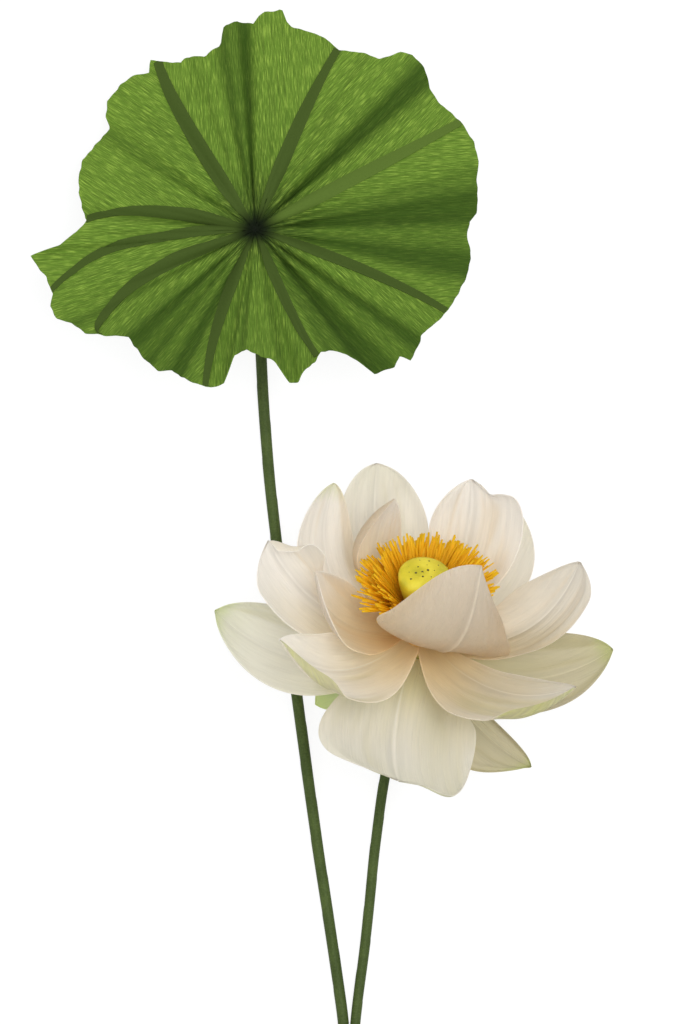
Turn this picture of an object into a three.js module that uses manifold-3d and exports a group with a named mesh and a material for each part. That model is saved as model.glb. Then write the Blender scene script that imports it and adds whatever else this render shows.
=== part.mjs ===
// A crepe-paper lotus: an open bloom and a round leaf, each on a wrapped wire stem, lying on a table.
// Millimetres. +X runs across the spray, +Y from the stem ends towards the leaf, +Z up from the table.
import * as THREE from 'three';
import { mergeVertices } from 'three/addons/utils/BufferGeometryUtils.js';
import Module from 'manifold-3d';

const wasm = await Module();
wasm.setup();

// Clearances
const GLUE_GAP = 0.3;

// Paper
const PETAL_PAPER = 0.6;
const PETAL_TIP_WIDTH = 1.4;
const SEPAL_PAPER = 0.6;
const LEAF_PAPER = 0.6;
const VEIN_PAPER = 0.5;
const FRINGE_PAPER = 0.7;

// Bloom: its axis points along +Y, rises from the table by the elevation and leans towards +X by the turn
const BLOOM_SIZE = 1;
const AXIS_ELEVATION = 42;
const AXIS_TURN = 6;

// Petals sit in rings on the receptacle, at these heights along the axis from its reference point
const RINGS = {
  inner: { height: 5, paper: PETAL_PAPER },
  middle: { height: -2, paper: PETAL_PAPER },
  outer: { height: -8, paper: PETAL_PAPER },
  low: { height: -13, paper: PETAL_PAPER },
  sepal: { height: -18, paper: SEPAL_PAPER },
};
const RECEPTACLE_RADIUS = 10;
const RECEPTACLE_TOP = 8;
const RECEPTACLE_BOTTOM = -24;
const PETAL_FOCUS = 70;
const BASE_CUP = 18;
const PETAL_TAPER = 2;
const ROW_CROWDING = 1.35;
const FOOT_PASSES = 4;

// Each petal: its tip from the bloom's reference point, bulge and sway of the midrib, and how far its
// face turns upwards. For its anticlockwise and clockwise half, seen from the pod: half width at the
// foot and at its widest, cup in degrees, where along it is widest, and roundness (lower is rounder)
const PETALS = [
  { name: 'petal_inner_front', ring: 'inner', tip: [37, 43, 68], bulge: 26, sway: 6, face: -0.8,
    foot: [6, 6], width: [44, 56], cup: [50, 38], widest: [0.36, 0.45], round: [0.7, 0.5] },
  { name: 'petal_inner_left', ring: 'inner', tip: [-61, 39, 47], bulge: 14, sway: -6, face: 0.4,
    foot: [5, 5], width: [34, 22], cup: [55, 75], widest: [0.55, 0.55], round: [0.55, 0.62] },
  { name: 'petal_inner_back', ring: 'inner', tip: [-14, 82, 16], bulge: 18, sway: -8, face: 0.2,
    foot: [5, 5], width: [30, 15], cup: [60, 60], widest: [0.62, 0.6], round: [0.55, 0.62] },
  { name: 'petal_middle_left', ring: 'middle', tip: [-89, 58, 32], bulge: 9, sway: -9, face: 0.8,
    foot: [4, 4], width: [40, 24], cup: [40, 50], widest: [0.88, 0.66], round: [0.45, 0.62] },
  { name: 'petal_front_left', ring: 'middle', tip: [-82, -1, 72], bulge: 14, sway: -12, face: 0.8,
    foot: [11, 4], width: [40, 23], cup: [55, 60], widest: [0.5, 0.5], round: [0.62, 0.62] },
  { name: 'petal_front_right', ring: 'middle', tip: [93, -29, 64], bulge: 10, sway: 12, face: 1,
    foot: [4, 9], width: [12, 32], cup: [75, 50], widest: [0.5, 0.42], round: [0.62, 0.75] },
  { name: 'petal_right', ring: 'middle', tip: [96, 45, 32], bulge: 12, sway: 20, face: 0.9,
    foot: [4, 3], width: [21, 27], cup: [50, 45], widest: [0.78, 0.96], round: [0.62, 0.4] },
  { name: 'petal_back_right', ring: 'middle', tip: [36, 95, 5], bulge: 12, sway: 5, face: 0.2,
    foot: [4, 4], width: [26, 46], cup: [40, 45], widest: [0.65, 0.82], round: [0.62, 0.28] },
  { name: 'petal_upper_left', ring: 'middle', tip: [-50, 92, -6], bulge: 18, sway: -18, face: 0.4,
    foot: [4, 4], width: [28, 18], cup: [45, 55], widest: [0.6, 0.6], round: [0.62, 0.62] },
  { name: 'petal_outer_left', ring: 'outer', tip: [-121, 16, 38], bulge: 12, sway: -14, face: 1.2,
    foot: [5, 5], width: [30, 28], cup: [35, 45], widest: [0.6, 0.6], round: [0.62, 0.62] },
  { name: 'petal_outer_front', ring: 'outer', tip: [18, -96, 68], bulge: 10, sway: 5, face: 0.2,
    foot: [5, 5], width: [23, 73], cup: [30, 30], widest: [0.62, 0.72], round: [0.45, 0.55] },
  { name: 'petal_outer_low_right', ring: 'low', tip: [67, -77, 28], bulge: 14, sway: 0, face: 0.3,
    foot: [5, 5], width: [10, 32], cup: [70, 30], widest: [0.64, 0.64], round: [0.62, 0.62] },
  { name: 'petal_outer_right', ring: 'outer', tip: [116, -7, 30], bulge: 10, sway: 14, face: 1,
    foot: [5, 5], width: [28, 32], cup: [40, 40], widest: [0.58, 0.58], round: [0.62, 0.62] },
  { name: 'petal_outer_back_right', ring: 'outer', tip: [56, 74, -26], bulge: 10, sway: 0, face: 0.2,
    foot: [5, 5], width: [24, 38], cup: [35, 35], widest: [0.62, 0.62], round: [0.62, 0.6] },
  { name: 'petal_outer_back', ring: 'outer', tip: [-24, 104, -30], bulge: 14, sway: -6, face: 0.2,
    foot: [5, 5], width: [26, 28], cup: [22, 40], widest: [0.62, 0.62], round: [0.62, 0.62] },
  { name: 'sepal_left', ring: 'sepal', tip: [-62, -35, 15], bulge: 4, sway: 0, face: 0.2,
    foot: [4, 4], width: [12, 12], cup: [30, 30], widest: [0.5, 0.5], round: [0.62, 0.62] },
  { name: 'sepal_front', ring: 'sepal', tip: [-10, -48, 2], bulge: 4, sway: 0, face: 0.2,
    foot: [4, 4], width: [12, 12], cup: [30, 30], widest: [0.5, 0.5], round: [0.62, 0.62] },
  { name: 'sepal_right', ring: 'sepal', tip: [48, -14, -24], bulge: 4, sway: 0, face: 0.2,
    foot: [4, 4], width: [12, 12], cup: [30, 30], widest: [0.5, 0.5], round: [0.62, 0.62] },
  { name: 'sepal_back', ring: 'sepal', tip: [-8, 30, -32], bulge: 4, sway: 0, face: 0.2,
    foot: [4, 4], width: [12, 12], cup: [30, 30], widest: [0.5, 0.5], round: [0.62, 0.62] },
];

// Seed pod: a cone with a domed top, standing on the receptacle
const POD_FOOT_RADIUS = 6;
const POD_FOOT_HEIGHT = 13;
const POD_RADIUS = 16;
const POD_SHOULDER = 49;
const POD_TOP = 54;

// Stamen fringes: wound round the pod's foot, cut into strips that flare outwards
const FRINGES = [
  { name: 'stamen_fringe_inner', band: 12, bend: [18, 37], tip: [32, 52], strips: 22 },
  { name: 'stamen_fringe_outer', band: 10, bend: [22, 33], tip: [41, 45], strips: 26 },
];
const FRINGE_STRIP_SHARE = 0.55;

// Leaf: hub position from the bloom's reference point, and rim radius by angle round the hub
const LEAF_SIZE = 1;
const LEAF_HUB = new THREE.Vector2(-98, 245);
const LEAF_HOLE = 2.8;
const LEAF_RIM = [
  [0, 128], [8, 135], [22, 142], [34, 134], [46, 142], [55, 127], [65, 119], [80, 127], [87, 132],
  [98, 125], [101, 114], [106, 109], [120, 119], [133, 119], [145, 107], [158, 112], [172, 104], [179, 106],
  [188, 134], [196, 127], [204, 130], [214, 113], [222, 100], [236, 103], [248, 99], [258, 96],
  [266, 73], [275, 78], [284, 96], [297, 85], [304, 90], [312, 116], [324, 121], [340, 128], [350, 131],
];
const LEAF_VEINS = [
  { angle: 120, bend: 0 }, { angle: 166, bend: 11 }, { angle: 181, bend: 16 },
  { angle: 195, bend: 19 }, { angle: 254, bend: -1 }, { angle: 292, bend: 4 },
  { angle: 343, bend: -7 }, { angle: 26, bend: 3 }, { angle: 73, bend: -8 },
];
const VEIN_WIDTH_AT_HUB = 0.3;
const VEIN_WIDTH = 7;
const VEIN_GAP = 0.6;
const PIT_DEPTH = 9;
const PIT_RADIUS = 13;
const LEAF_RISE = 30;
const LEAF_TILT = 48;
const LEAF_CURVE = 1.2;
const PLEAT_START = 40;
const LEAF_PLEATS = [
  { angle: 93, width: 7, depth: 5 }, { angle: 45, width: 10, depth: 7 }, { angle: 8, width: 7, depth: 4 },
  { angle: 352, width: 7, depth: 5 }, { angle: 316, width: 9, depth: 7 }, { angle: 270, width: 8, depth: 6 },
  { angle: 236, width: 8, depth: 6 }, { angle: 147, width: 10, depth: 5 },
];

// Stems
const BLOOM_STEM_RADIUS = 3.0;
const LEAF_STEM_RADIUS = 3.3;
const WIRE_RADIUS = 1.5;
const STEM_STEPS = 23;
const STEM_LIFT = 0.2;
const BINDING_X = -41;
const BINDING_START = -248;
const BINDING_LENGTH = 27;
const BINDING_PAPER = 0.6;
const STEM_END = -283;
const NECK_RADIUS = 4;
const NECK_DROP = 12;
const BLOOM_STEM_BEND = [[-14, -60, 5], [-19, -81, 1]];
const BLOOM_STEM_WAY = [[-25, -122], [-31, -180]];
const LEAF_STEM_BEND = [[-98, 241, 7], [-96, 205, 1]];
const LEAF_STEM_WAY = [[-93, 142], [-88, 82], [-73, -34], [-61, -122], [-50, -195]];
const LANE_START = -237;
const LANE_HOLD = -252;
const HUB_SEAT_SHARE = 0.45;

// Colours and finish
const PAPER_FINISH = { roughness: 0.85, metalness: 0 };
const WIRE_FINISH = { roughness: 0.45, metalness: 0.9 };
const CREAM = 0xe3dac6;
const PALE_GREEN = 0xd3d0ae;
const LEAF_GREEN = 0x6c8a34;
const VEIN_GREEN = 0x4b5d2a;
const STEM_GREEN = 0x5c6a36;
const SEPAL_GREEN = 0x9db04a;
const POD_YELLOW = 0xc9bb2c;
const STAMEN_ORANGE = 0xdc8a08;
const CORE_GOLD = 0xcdb27a;
const STEEL = 0x8d8f90;

const radians = THREE.MathUtils.degToRad;
const smoothstep = THREE.MathUtils.smoothstep;
const lerp = THREE.MathUtils.lerp;

// Keeps only the positions, joins shared vertices and drops triangles that have no area
function closedBody(geometry) {
  geometry.deleteAttribute('normal');
  geometry.deleteAttribute('uv');
  const merged = mergeVertices(geometry, 1e-4);
  const index = merged.index.array;
  const kept = [];
  for (let i = 0; i < index.length; i += 3) {
    const [a, b, c] = index.subarray(i, i + 3);
    if (a !== b && b !== c && c !== a) kept.push(a, b, c);
  }
  merged.setIndex(kept);
  return merged;
}

function piece(name, geometry, color, finish = PAPER_FINISH) {
  const mesh = new THREE.Mesh(geometry, new THREE.MeshStandardMaterial({ color, ...finish }));
  mesh.name = name;
  return mesh;
}

// A sheet of paper that follows surface(u, v), with its middle raised by lift along the normal
function paperSheet(surface, paper, across, along, lift = 0) {
  const sheet = closedBody(new THREE.BoxGeometry(1, 1, 1, across, along, 1));
  const position = sheet.attributes.position;
  const step = 1e-3;
  for (let i = 0; i < position.count; i += 1) {
    const u = position.getX(i) + 0.5;
    const v = position.getY(i) + 0.5;
    const alongU = surface(u + step, v).sub(surface(u - step, v));
    const alongV = surface(u, v + step).sub(surface(u, v - step));
    const normal = alongU.cross(alongV).normalize();
    const point = surface(u, v).addScaledVector(normal, lift + position.getZ(i) * paper);
    position.setXYZ(i, point.x, point.y, point.z);
  }
  return sheet;
}

// Bloom frame
const up = new THREE.Vector3(0, 0, 1);
const axis = new THREE.Vector3(0, Math.cos(radians(AXIS_ELEVATION)), Math.sin(radians(AXIS_ELEVATION)));
axis.applyAxisAngle(up, -radians(AXIS_TURN));

// The part of a vector that is square to a direction, as a unit vector
function squareTo(vector, direction) {
  return vector.clone().addScaledVector(direction, -vector.dot(direction)).normalize();
}

// Widens from the foot to the widest place, then closes in a rounded tip
function petalHalfWidth(petal, half, v) {
  const width = petal.width[half] * BLOOM_SIZE;
  const widest = petal.widest[half];
  if (v < widest) return lerp(petal.foot[half], width, Math.sin((Math.PI / 2) * Math.max(v, 0) / widest));
  const beyond = Math.min((v - widest) / (1 - widest), 1);
  return Math.max(width * (1 - beyond ** PETAL_TAPER) ** petal.round[half], PETAL_TIP_WIDTH / 2);
}

// The midrib leaves the receptacle straight outwards, so the foot is set by the curve's own handle
function petalMidrib(petal, facing) {
  const ring = RINGS[petal.ring];
  const seat = RECEPTACLE_RADIUS + GLUE_GAP + ring.paper / 2;
  const tip = new THREE.Vector3(...petal.tip).multiplyScalar(BLOOM_SIZE);
  let handle = tip;
  let foot;
  for (let pass = 0; pass < FOOT_PASSES; pass += 1) {
    foot = squareTo(handle, axis).multiplyScalar(seat).addScaledVector(axis, ring.height);
    const middle = foot.clone().lerp(tip, 0.5);
    const chord = tip.clone().sub(foot).normalize();
    const inward = facing(middle, chord);
    const side = chord.clone().cross(inward);
    handle = middle.addScaledVector(inward, -2 * petal.bulge * BLOOM_SIZE);
    handle.addScaledVector(side, 2 * petal.sway * BLOOM_SIZE);
  }
  return new THREE.QuadraticBezierCurve3(foot, handle, tip);
}

function petalSurface(petal) {
  const focus = axis.clone().multiplyScalar(PETAL_FOCUS);
  const facing = (point, along) => {
    const towards = focus.clone().sub(point).normalize().addScaledVector(up, petal.face);
    return squareTo(towards, along);
  };
  const midrib = petalMidrib(petal, facing);
  return (u, row) => {
    const v = 1 - Math.abs(1 - row) ** ROW_CROWDING * Math.sign(1 - row);
    const point = midrib.getPoint(v);
    const tangent = midrib.getTangent(THREE.MathUtils.clamp(v, 0, 1));
    const inward = facing(point, tangent);
    const side = tangent.clone().cross(inward);
    const x = 2 * u - 1;
    const half = x < 0 ? 0 : 1;
    const cup = lerp(radians(BASE_CUP), radians(petal.cup[half]), smoothstep(v, 0, 0.45));
    const width = petalHalfWidth(petal, half, v);
    point.addScaledVector(side, (width * Math.sin(cup * x)) / cup);
    point.addScaledVector(inward, (width * (1 - Math.cos(cup * x))) / cup);
    return point;
  };
}

const PETAL_ACROSS = 6;
const PETAL_ALONG = 9;
const SEPAL_ACROSS = 4;
const SEPAL_ALONG = 6;
const RING_COLOURS = { inner: CREAM, middle: CREAM, outer: PALE_GREEN, low: PALE_GREEN, sepal: SEPAL_GREEN };

const bloom = new THREE.Group();
for (const petal of PETALS) {
  const small = petal.ring === 'sepal';
  const across = small ? SEPAL_ACROSS : PETAL_ACROSS;
  const along = small ? SEPAL_ALONG : PETAL_ALONG;
  const sheet = paperSheet(petalSurface(petal), RINGS[petal.ring].paper, across, along);
  bloom.add(piece(petal.name, sheet, RING_COLOURS[petal.ring]));
}

// Heart of the bloom: turned pieces on the bloom's axis
const heart = new THREE.Group();
heart.quaternion.setFromUnitVectors(new THREE.Vector3(0, 1, 0), axis);
bloom.add(heart);

const LATHE_SIDES = 20;

function turned(points, sides = LATHE_SIDES) {
  const profile = points.map(([x, y]) => new THREE.Vector2(x, y));
  return closedBody(new THREE.LatheGeometry(profile, sides));
}

heart.add(piece('receptacle', turned([
  [0, RECEPTACLE_BOTTOM], [NECK_RADIUS, RECEPTACLE_BOTTOM], [RECEPTACLE_RADIUS * 0.8, RECEPTACLE_BOTTOM + 2],
  [RECEPTACLE_RADIUS, RECEPTACLE_BOTTOM + 4], [RECEPTACLE_RADIUS, RECEPTACLE_TOP], [0, RECEPTACLE_TOP],
]), CORE_GOLD));

const podFoot = RECEPTACLE_TOP + GLUE_GAP;
heart.add(piece('seed_pod', turned([
  [0, podFoot], [POD_FOOT_RADIUS, podFoot], [POD_FOOT_RADIUS, podFoot + POD_FOOT_HEIGHT],
  [POD_RADIUS * 0.82, POD_SHOULDER - 12], [POD_RADIUS, POD_SHOULDER], [POD_RADIUS * 0.9, POD_SHOULDER + 2.5],
  [POD_RADIUS * 0.5, POD_TOP - 0.7], [0, POD_TOP],
]), POD_YELLOW));

function solidOf(geometry) {
  const body = closedBody(geometry);
  return new wasm.Manifold(new wasm.Mesh({
    numProp: 3,
    vertProperties: new Float32Array(body.attributes.position.array),
    triVerts: new Uint32Array(body.index.array),
  }));
}

function geometryOf(solid) {
  const mesh = solid.getMesh();
  const geometry = new THREE.BufferGeometry();
  geometry.setAttribute('position', new THREE.BufferAttribute(mesh.vertProperties, 3));
  geometry.setIndex(new THREE.BufferAttribute(mesh.triVerts, 1));
  return geometry;
}

// A flared collar, slit from its tips down to the glued band
let woundRadius = POD_FOOT_RADIUS + GLUE_GAP;
for (const fringe of FRINGES) {
  const [tipRadius, tipHeight] = fringe.tip;
  const bandTop = podFoot + fringe.band;
  const inner = woundRadius;
  const outer = inner + FRINGE_PAPER;
  const [bendRadius, bendHeight] = fringe.bend;
  const collar = solidOf(new THREE.LatheGeometry([
    [inner, podFoot], [outer, podFoot], [outer, bandTop], [bendRadius + FRINGE_PAPER, bendHeight],
    [tipRadius, tipHeight], [tipRadius - FRINGE_PAPER, tipHeight + FRINGE_PAPER],
    [bendRadius, bendHeight + FRINGE_PAPER], [inner, bandTop], [inner, podFoot],
  ].map(([x, y]) => new THREE.Vector2(x, y)), fringe.strips * 2));
  let cut = collar;
  const pitch = (2 * Math.PI) / fringe.strips;
  const halfSlit = (pitch * (1 - FRINGE_STRIP_SHARE)) / 2;
  const reach = 2 * tipRadius;
  for (let i = 0; i < fringe.strips; i += 1) {
    const wedge = new THREE.Shape([
      new THREE.Vector2(0, 0),
      new THREE.Vector2(reach * Math.cos(halfSlit), -reach * Math.sin(halfSlit)),
      new THREE.Vector2(reach * Math.cos(halfSlit), reach * Math.sin(halfSlit)),
    ]);
    const cutter = new THREE.ExtrudeGeometry(wedge, { depth: reach, bevelEnabled: false });
    cutter.rotateX(-Math.PI / 2).translate(0, bandTop, 0).rotateY((i + 0.5) * pitch);
    cut = cut.subtract(solidOf(cutter));
  }
  heart.add(piece(fringe.name, geometryOf(cut), STAMEN_ORANGE));
  woundRadius = outer + GLUE_GAP;
}

// Leaf
const leaf = new THREE.Group();

function rimRadius(angle) {
  const turn = ((angle % 360) + 360) % 360;
  const count = LEAF_RIM.length;
  const next = LEAF_RIM.findIndex(([at]) => at > turn);
  const after = next < 0 ? count : next;
  const [a0, r0] = LEAF_RIM[after - 1];
  const [a1, r1] = after === count ? [360, LEAF_RIM[0][1]] : LEAF_RIM[after];
  return LEAF_SIZE * lerp(r0, r1, smoothstep(turn, a0, a1));
}

function turnBetween(a, b) {
  return ((((a - b) % 360) + 540) % 360) - 180;
}

function leafHeightAt(angle, radius) {
  const reach = radius / rimRadius(angle);
  const rise = LEAF_RISE - LEAF_TILT * Math.sin(radians(angle));
  let height = rise * Math.abs(reach) ** LEAF_CURVE;
  height -= PIT_DEPTH * Math.exp(-((radius / PIT_RADIUS) ** 2));
  for (const pleat of LEAF_PLEATS) {
    const away = turnBetween(angle, pleat.angle) / pleat.width;
    height -= pleat.depth * Math.exp(-away * away) * smoothstep(radius, LEAF_HOLE, PLEAT_START);
  }
  return height;
}

function leafPoint(angle, share) {
  const radius = lerp(LEAF_HOLE, rimRadius(angle), share);
  const turn = radians(angle);
  const x = LEAF_HUB.x + radius * Math.cos(turn);
  const y = LEAF_HUB.y + radius * Math.sin(turn);
  return new THREE.Vector3(x, y, leafHeightAt(angle, radius));
}

function veinAngle(vein, share) {
  return vein.angle + vein.bend * share * share;
}

// Half a width in millimetres, as degrees round the hub
function halfTurn(width, angle, share) {
  const radius = lerp(LEAF_HOLE, rimRadius(angle), share);
  return THREE.MathUtils.radToDeg(width / 2 / radius);
}

function veinWidth(share) {
  return lerp(VEIN_WIDTH_AT_HUB, VEIN_WIDTH, smoothstep(share, -0.1, 0.6));
}

const PANEL_ACROSS = 8;
const PANEL_ALONG = 8;

LEAF_VEINS.forEach((vein, i) => {
  const nextVein = LEAF_VEINS[(i + 1) % LEAF_VEINS.length];
  const panel = (u, v) => {
    const from = veinAngle(vein, v);
    const to = from + ((turnBetween(veinAngle(nextVein, v), from) + 360) % 360);
    const start = from + halfTurn(GLUE_GAP, from, v);
    const end = to - halfTurn(GLUE_GAP, to, v);
    const startEdge = from + halfTurn(veinWidth(v), from, v);
    const endEdge = to - halfTurn(veinWidth(v), to, v);
    const column = u * PANEL_ACROSS;
    if (column <= 1) return leafPoint(lerp(start, startEdge, column), v);
    if (column >= PANEL_ACROSS - 1) return leafPoint(lerp(end, endEdge, PANEL_ACROSS - column), v);
    return leafPoint(lerp(startEdge, endEdge, (column - 1) / (PANEL_ACROSS - 2)), v);
  };
  const number = i + 1;
  const sheet = paperSheet(panel, LEAF_PAPER, PANEL_ACROSS, PANEL_ALONG);
  leaf.add(piece(`leaf_panel_${number}`, sheet, LEAF_GREEN));
  const strip = (u, v) => {
    const middle = veinAngle(vein, v);
    return leafPoint(middle + (2 * u - 1) * halfTurn(veinWidth(v), middle, v), v);
  };
  const lift = -(LEAF_PAPER / 2 + VEIN_GAP + VEIN_PAPER / 2);
  leaf.add(piece(`leaf_vein_${number}`, paperSheet(strip, VEIN_PAPER, 2, PANEL_ALONG, lift), VEIN_GREEN));
});

// Bloom and leaf come down until they touch the table
function layDown(group) {
  group.updateMatrixWorld(true);
  group.position.z = -new THREE.Box3().setFromObject(group, true).min.z;
}
layDown(bloom);
layDown(leaf);

// Stems: a wrap of paper tape round a wire
const stems = new THREE.Group();

function ring(radius, sides) {
  return Array.from({ length: sides }, (_, i) => {
    const turn = (2 * Math.PI * i) / sides;
    return new THREE.Vector2(radius * Math.cos(turn), radius * Math.sin(turn));
  });
}

function addStem(name, points, radius) {
  const path = new THREE.CatmullRomCurve3(points.map((p) => new THREE.Vector3(...p)), false, 'centripetal');
  const options = { steps: STEM_STEPS, extrudePath: path, bevelEnabled: false };
  const wrap = new THREE.Shape(ring(radius, 12));
  wrap.holes.push(new THREE.Path(ring(WIRE_RADIUS + GLUE_GAP, 8)));
  const wire = new THREE.Shape(ring(WIRE_RADIUS, 8));
  stems.add(piece(`${name}_wrap`, closedBody(new THREE.ExtrudeGeometry(wrap, options)), STEM_GREEN));
  stems.add(piece(`${name}_wire`, closedBody(new THREE.ExtrudeGeometry(wire, options)), STEEL, WIRE_FINISH));
}

const boundHeight = BINDING_PAPER + GLUE_GAP;
const laneShift = GLUE_GAP / 2;
const bloomLane = BINDING_X + BLOOM_STEM_RADIUS + laneShift;
const leafLane = BINDING_X - LEAF_STEM_RADIUS - laneShift;
const bindingEnd = BINDING_START - BINDING_LENGTH;

// Lies on the table at this radius above it; each bend is raised by its third number
function onTable(way, radius) {
  return way.map(([x, y, rise = 0]) => [x, y, radius + STEM_LIFT + rise]);
}

// Runs through the binding in its own lane, to the cut end
function throughBinding(lane, radius) {
  return [LANE_START, LANE_HOLD, bindingEnd, STEM_END].map((y) => [lane, y, radius + boundHeight]);
}

const neck = axis.clone().multiplyScalar(RECEPTACLE_BOTTOM - GLUE_GAP);
neck.z += bloom.position.z;
const neckDrop = axis.clone().multiplyScalar(-NECK_DROP).add(neck);
addStem('bloom_stem', [
  neck.toArray(), neckDrop.toArray(),
  ...onTable([...BLOOM_STEM_BEND, ...BLOOM_STEM_WAY], BLOOM_STEM_RADIUS),
  ...throughBinding(bloomLane, BLOOM_STEM_RADIUS),
], BLOOM_STEM_RADIUS);

const hubHeight = leaf.position.z - PIT_DEPTH - LEAF_PAPER / 2 - GLUE_GAP - HUB_SEAT_SHARE * LEAF_STEM_RADIUS;
addStem('leaf_stem', [
  [LEAF_HUB.x, LEAF_HUB.y, hubHeight],
  ...onTable([...LEAF_STEM_BEND, ...LEAF_STEM_WAY], LEAF_STEM_RADIUS),
  ...throughBinding(leafLane, LEAF_STEM_RADIUS),
], LEAF_STEM_RADIUS);

// Binding: tape round both stems, an oval band that stands on the table
function bandOutline(outline, clearance) {
  const bloomMiddle = BLOOM_STEM_RADIUS + boundHeight;
  const leafMiddle = LEAF_STEM_RADIUS + boundHeight;
  outline.absarc(bloomLane, bloomMiddle, BLOOM_STEM_RADIUS + clearance, -Math.PI / 2, Math.PI / 2);
  outline.absarc(leafLane, leafMiddle, LEAF_STEM_RADIUS + clearance, Math.PI / 2, (3 * Math.PI) / 2);
  return outline;
}

const band = bandOutline(new THREE.Shape(), boundHeight);
band.holes.push(bandOutline(new THREE.Path(), GLUE_GAP));
const bandOptions = { depth: BINDING_LENGTH, bevelEnabled: false, curveSegments: 8 };
const binding = new THREE.ExtrudeGeometry(band, bandOptions);
binding.rotateX(Math.PI / 2).translate(0, BINDING_START, 0);
stems.add(piece('stem_binding', closedBody(binding), STEM_GREEN));

// The origin is on the table, in the middle of the spray's footprint
const spray = new THREE.Group();
spray.add(bloom, leaf, stems);
spray.updateMatrixWorld(true);
const footprint = new THREE.Box3().setFromObject(spray, true).getCenter(new THREE.Vector3());
spray.position.set(-footprint.x, -footprint.y, 0);
export default spray;
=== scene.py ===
# %% [markdown]
# # A crepe-paper lotus with its leaf
#
# The real thing is a spray made at a kitchen table: petals and leaf gores cut from crepe paper, a
# fringe of orange paper wound round a yellow seed pod, and two wires wrapped in green tape. It lies
# on the table and we look straight down on it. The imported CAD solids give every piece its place.
# Each cell below makes one kind of piece, and says why it is made that way.

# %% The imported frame
import math

import bmesh
import bpy
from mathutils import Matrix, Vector, noise


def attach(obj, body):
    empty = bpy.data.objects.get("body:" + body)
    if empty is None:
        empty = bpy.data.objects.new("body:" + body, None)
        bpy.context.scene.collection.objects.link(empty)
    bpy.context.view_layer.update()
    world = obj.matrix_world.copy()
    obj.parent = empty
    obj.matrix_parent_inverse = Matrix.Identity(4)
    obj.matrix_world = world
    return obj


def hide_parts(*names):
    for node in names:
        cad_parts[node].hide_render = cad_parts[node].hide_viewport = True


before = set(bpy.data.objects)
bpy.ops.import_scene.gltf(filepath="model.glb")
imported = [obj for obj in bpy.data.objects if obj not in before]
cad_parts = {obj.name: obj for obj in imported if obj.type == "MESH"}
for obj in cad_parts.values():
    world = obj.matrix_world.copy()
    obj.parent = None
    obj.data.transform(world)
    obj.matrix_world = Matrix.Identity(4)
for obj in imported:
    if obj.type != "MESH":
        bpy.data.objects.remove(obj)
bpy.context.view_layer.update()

# %% [markdown]
# ## Camera, table and light
#
# A part that lies down is photographed from above, so the camera looks straight down from far away
# through a long lens, which keeps high petals and low stems at one scale. The table is white to the
# camera but still takes a soft shadow: a weak white glow is added to a matt sheet, so only what the
# sheet itself reflects can darken. The light of the photograph is soft and comes from all around, so a
# plain world fills most of it. A wide lamp near the line of sight opens the cups, and a weak one at the
# left stands for a window.

# %% Camera
MM = 0.001
VIEW_MIDDLE = Vector((11.15, 29.4, 50.0))
VIEW_HEIGHT = 614.4
VIEW_DISTANCE = 8000.0

lens = bpy.data.cameras.new("camera")
lens.sensor_fit = "VERTICAL"
lens.sensor_height = 24.0
lens.lens = lens.sensor_height * VIEW_DISTANCE / VIEW_HEIGHT
camera = bpy.data.objects.new("camera", lens)
camera.location = (VIEW_MIDDLE + Vector((0, 0, VIEW_DISTANCE))) * MM
bpy.context.scene.collection.objects.link(camera)
bpy.context.scene.camera = camera
bpy.context.scene.view_settings.view_transform = "Standard"
print("lens", round(lens.lens, 1))


# %% A helper class for shader sums
class Wire:
    """A node's output that can be added, multiplied and compared, and that adds further nodes."""

    def __init__(self, tree, socket=None):
        self.tree = tree
        self.socket = socket

    def node(self, kind, settings, sockets, output=0):
        made = self.tree.nodes.new("ShaderNode" + kind)
        for key, value in settings.items():
            if key == "stops":
                ramp = made.color_ramp
                ramp.elements.remove(ramp.elements[1])
                ramp.elements[0].position, ramp.elements[0].color = value[0]
                for position, colour in value[1:]:
                    ramp.elements.new(position).color = colour
            else:
                setattr(made, key, value)
        for key, value in sockets.items():
            if isinstance(value, Wire):
                self.tree.links.new(value.socket, made.inputs[key])
            else:
                made.inputs[key].default_value = value
        return Wire(self.tree, made.outputs[output] if made.outputs else None)

    def math(self, operation, first, second):
        return self.node("Math", {"operation": operation}, {0: first, 1: second})

    def __add__(self, other):
        return self.math("ADD", self, other)

    __radd__ = __add__

    def __sub__(self, other):
        return self.math("SUBTRACT", self, other)

    def __rsub__(self, other):
        return self.math("SUBTRACT", other, self)

    def __mul__(self, other):
        return self.math("MULTIPLY", self, other)

    __rmul__ = __mul__

    def note(self, name):
        """A number that a sheet carries at its corners."""
        return self.node("Attribute", {"attribute_name": name}, {}, "Fac")

    def speckle(self, spot, scale, detail, roughness=0.5):
        sockets = {"Vector": spot, "Scale": scale, "Detail": detail, "Roughness": roughness}
        return self.node("TexNoise", {}, sockets)

    def relief(self, height, depth):
        """A bump as deep as asked, in millimetres."""
        return self.node("Bump", {}, {"Height": height, "Distance": depth * MM, "Strength": 1.0})

    def show(self, shader):
        self.node("OutputMaterial", {}, {"Surface": shader})

    def rise(self, low, high):
        """A share that climbs smoothly from 0 at low to 1 at high."""
        settings = {"interpolation_type": "SMOOTHSTEP"}
        return self.node("MapRange", settings, {"Value": self, "From Min": low, "From Max": high})

    def blend(self, share, other):
        """This colour with a share of another one mixed in."""
        settings = {"data_type": "RGBA"}
        return self.node("Mix", settings, {0: share, 6: self, 7: other}, 2)


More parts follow.
